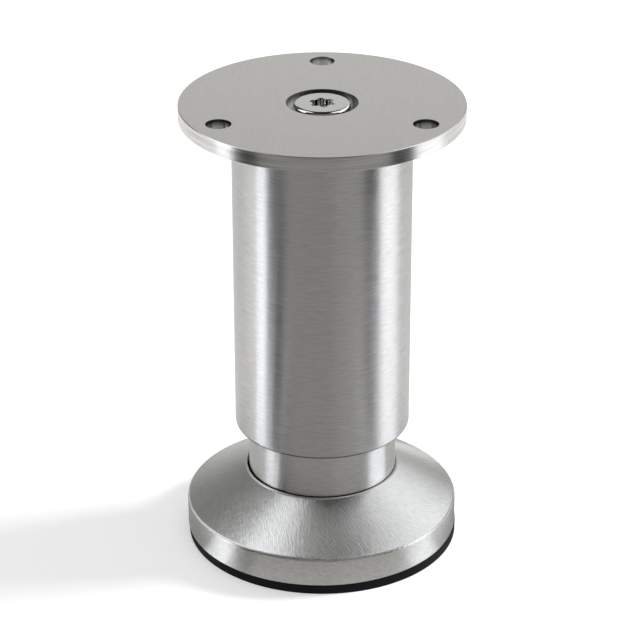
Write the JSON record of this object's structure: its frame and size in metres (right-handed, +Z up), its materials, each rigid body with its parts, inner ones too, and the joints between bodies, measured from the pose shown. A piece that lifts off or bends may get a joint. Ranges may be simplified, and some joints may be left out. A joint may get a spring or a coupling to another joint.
{
  "type": "adjustable furniture leg",
  "caption": "Round brushed-steel furniture leg with a drilled mounting plate on top and a conical foot that screws in and out on a spindle to set the height.",
  "frame": {"origin": "on the floor, under the middle of the foot pad", "axes": "+Z up along the tube's axis, -Y towards the side that the picture shows"},
  "size_m": [0.08, 0.08, 0.135],
  "materials": {
    "plate_steel": "straight brushed",
    "screw_steel": "polished",
    "tube_steel": "brushed round the tube",
    "neck_steel": "brushed round the neck",
    "cover_steel": "spiral brushed",
    "fastener_steel": "zinc plated",
    "die_cast": "as cast",
    "bush_nylon": "moulded",
    "base_nylon": "moulded",
    "pad_rubber": "matt"
  },
  "bodies": {
    "leg": {"mounting_plate": "plate_steel", "plate_screw": "screw_steel", "leg_tube": "tube_steel", "top_plug": "die_cast", "spindle_plug": "die_cast", "mouth_bush": "bush_nylon"},
    "guide": {"guide_ring": "bush_nylon"},
    "foot": {"neck_sleeve": "neck_steel", "foot_cover": "cover_steel", "foot_base": "base_nylon", "spindle": "fastener_steel", "lock_washer": "fastener_steel", "lock_nut": "fastener_steel", "foot_pad": "pad_rubber"}
  },
  "joints": [
    {"name": "foot_travel", "type": "slide", "parent": "leg", "child": "guide", "axis": [0, 0, 1], "range_m": [-0.005, 0.015]},
    {"name": "foot_turn", "type": "hinge", "parent": "guide", "child": "foot", "pos_m": [0, 0, 0], "axis": [0, 0, 1], "range_deg": [-1200, 3600]}
  ],
  "couplings": [
    {"joint": "foot_turn", "follows": "foot_travel", "rad_per_m": 4188.8}
  ]
}
